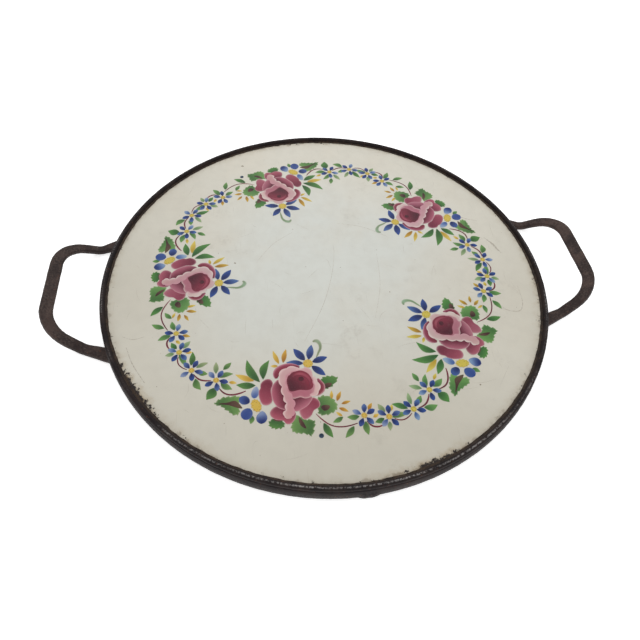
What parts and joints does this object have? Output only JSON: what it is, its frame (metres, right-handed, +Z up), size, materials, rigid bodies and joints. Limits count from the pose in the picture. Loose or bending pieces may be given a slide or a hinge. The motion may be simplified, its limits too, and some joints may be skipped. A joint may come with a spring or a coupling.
{
  "type": "folding tray table",
  "caption": "Round painted metal tray in a moulded iron hoop with bar handles at two ends, and a pair of U-shaped leg frames that fold flat underneath.",
  "frame": {"origin": "centre of the hoop's lower edge, on the surface the folded tray lies on", "axes": "+X from the left handle to the right handle, +Y to the back, +Z up out of the painted face"},
  "size_m": [0.5418, 0.4448, 0.0301],
  "materials": {
    "paint": "aged satin cream paint with a stencilled garland",
    "iron_hoop": "dark worn iron, half gloss on the bead",
    "forged_iron": "brown forged iron, lightly marked",
    "putty": "old brown putty, matt",
    "dark_steel": "blackened steel, satin",
    "rivet_steel": "dull steel",
    "sleeve_rubber": "matt black rubber",
    "clip_steel": "spring steel, slightly blued"
  },
  "bodies": {
    "tray": {"edge_seal": "putty", "handle_left": "forged_iron", "handle_right": "forged_iron", "hinge_saddle_left_back": "dark_steel", "hinge_saddle_left_front": "dark_steel", "hinge_saddle_right_back": "dark_steel", "hinge_saddle_right_front": "dark_steel", "ledge_ring": "dark_steel", "ledge_rivet_01": "rivet_steel", "ledge_rivet_02": "rivet_steel", "ledge_rivet_03": "rivet_steel", "ledge_rivet_04": "rivet_steel", "ledge_rivet_05": "rivet_steel", "ledge_rivet_06": "rivet_steel", "ledge_rivet_07": "rivet_steel", "ledge_rivet_08": "rivet_steel", "ledge_rivet_09": "rivet_steel", "ledge_rivet_10": "rivet_steel", "ledge_rivet_11": "rivet_steel", "ledge_rivet_12": "rivet_steel", "rim_hoop": "iron_hoop", "saddle_rivet_01": "rivet_steel", "saddle_rivet_02": "rivet_steel", "saddle_rivet_03": "rivet_steel", "saddle_rivet_04": "rivet_steel", "saddle_rivet_05": "rivet_steel", "saddle_rivet_06": "rivet_steel", "saddle_rivet_07": "rivet_steel", "saddle_rivet_08": "rivet_steel", "stow_clip_left": "clip_steel", "stow_clip_right": "clip_steel", "strap_left": "dark_steel", "strap_right": "dark_steel", "strap_rivet_01": "rivet_steel", "strap_rivet_02": "rivet_steel", "strap_rivet_03": "rivet_steel", "strap_rivet_04": "rivet_steel", "strap_rivet_05": "rivet_steel", "strap_rivet_06": "rivet_steel", "strap_rivet_07": "rivet_steel", "strap_rivet_08": "rivet_steel", "tray_panel": "paint"},
    "leg_left": {"leg_frame_left": "dark_steel", "foot_sleeve_left_front": "sleeve_rubber", "foot_sleeve_left_back": "sleeve_rubber"},
    "leg_right": {"leg_frame_right": "dark_steel", "foot_sleeve_right_front": "sleeve_rubber", "foot_sleeve_right_back": "sleeve_rubber"}
  },
  "joints": [
    {"name": "leg_left_hinge", "type": "hinge", "parent": "tray", "child": "leg_left", "pos_m": [-0.165, 0, 0.0066], "axis": [0, 1, 0], "range_deg": [0, 100]},
    {"name": "leg_right_hinge", "type": "hinge", "parent": "tray", "child": "leg_right", "pos_m": [0.165, 0, 0.0066], "axis": [0, -1, 0], "range_deg": [0, 100]}
  ]
}
